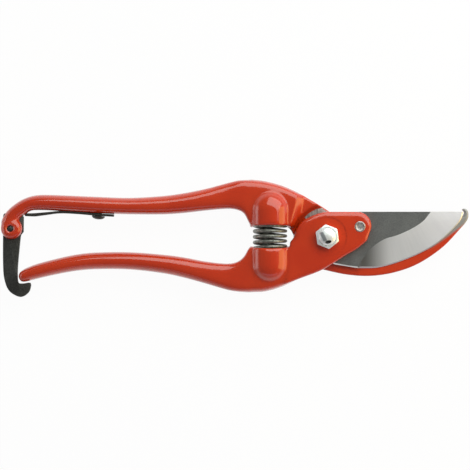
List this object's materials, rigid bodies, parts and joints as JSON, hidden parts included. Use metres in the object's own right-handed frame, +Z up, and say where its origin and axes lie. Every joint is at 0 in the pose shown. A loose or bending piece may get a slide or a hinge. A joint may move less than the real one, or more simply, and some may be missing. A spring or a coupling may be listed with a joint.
{
  "type": "pruning shears",
  "caption": "Bypass pruning shears with forged steel handles, a hooked jaw under a curved blade, a coil spring and a catch that holds the grips closed.",
  "frame": {"origin": "on the pivot's axis, at the back face of the pivot nut", "axes": "+X along the shears towards the blade's tip, +Y across the handles towards the one with the hooked jaw, +Z up through the pivot towards the bolt's head"},
  "size_m": [0.2297, 0.0577, 0.021],
  "materials": {
    "handle_paint": "gloss orange-red enamel",
    "blade_steel": "dark flat, bright ground bevel",
    "rivet_steel": "plain turned steel",
    "polished_steel": "polished, plated",
    "spring_steel": "oiled dark spring wire",
    "catch_steel": "blackened steel"
  },
  "bodies": {
    "upper": {"upper_handle": "handle_paint", "pivot_bolt": "polished_steel", "pivot_washer": "rivet_steel", "pivot_nut": "rivet_steel", "main_spring": "spring_steel", "catch_pin": "rivet_steel", "catch_spring": "catch_steel", "catch_spring_rivet": "catch_steel"},
    "lower": {"lower_handle": "handle_paint", "cutting_blade": "blade_steel", "blade_rivet": "rivet_steel"},
    "latch": {"catch": "catch_steel"}
  },
  "joints": [
    {"name": "handles_open", "type": "hinge", "parent": "upper", "child": "lower", "pos_m": [0, 0, 0.01], "axis": [0, 0, 1], "range_deg": [0, 33], "deforming": ["main_spring"]},
    {"name": "catch_swing", "type": "hinge", "parent": "upper", "child": "latch", "pos_m": [-0.155, 0.0039, 0.01], "axis": [0, 0, 1], "range_deg": [-80, 0]}
  ]
}
